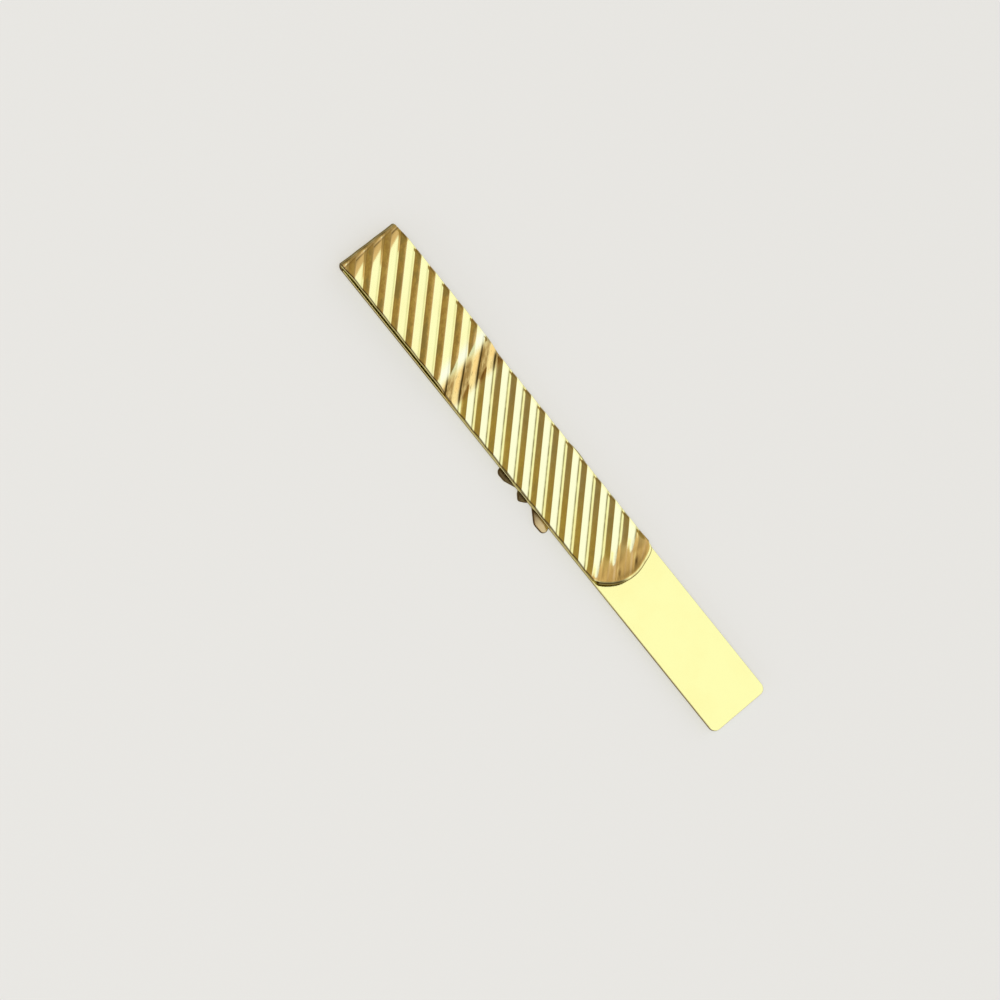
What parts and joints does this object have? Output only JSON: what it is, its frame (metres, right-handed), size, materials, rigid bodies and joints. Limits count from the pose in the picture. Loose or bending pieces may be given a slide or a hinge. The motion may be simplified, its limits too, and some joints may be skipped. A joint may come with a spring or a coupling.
{
  "type": "tie clip",
  "caption": "Folded strip tie clip with a plain face bar, a hairpin spring bend, a diagonally ribbed grip tongue and a flower ornament pinned to the face.",
  "frame": {"origin": "middle of the clip's length and width, on the surface that it lies on, face down on its ornament", "axes": "+X along the bar from the fold to the free end, +Y across the bar, +Z from the face to the back, where the tongue is"},
  "size_m": [0.08, 0.0111, 0.0033],
  "materials": {
    "gold_plate": "polished gold plate",
    "pin_brass": "filed flush"
  },
  "bodies": {
    "bar": {"face_bar": "gold_plate", "hairpin_bend": "gold_plate", "ornament": "gold_plate", "ornament_pins": "pin_brass"},
    "tongue": {"grip_tongue": "gold_plate"}
  },
  "joints": [
    {"name": "tongue_lift", "type": "hinge", "parent": "bar", "child": "tongue", "pos_m": [-0.03915, 0, 0.00185], "axis": [0, -1, 0], "range_deg": [0, 6], "stiffness_Nm_per_rad": 0.3, "springref_deg": -2.86, "deforming": ["hairpin_bend"]}
  ]
}
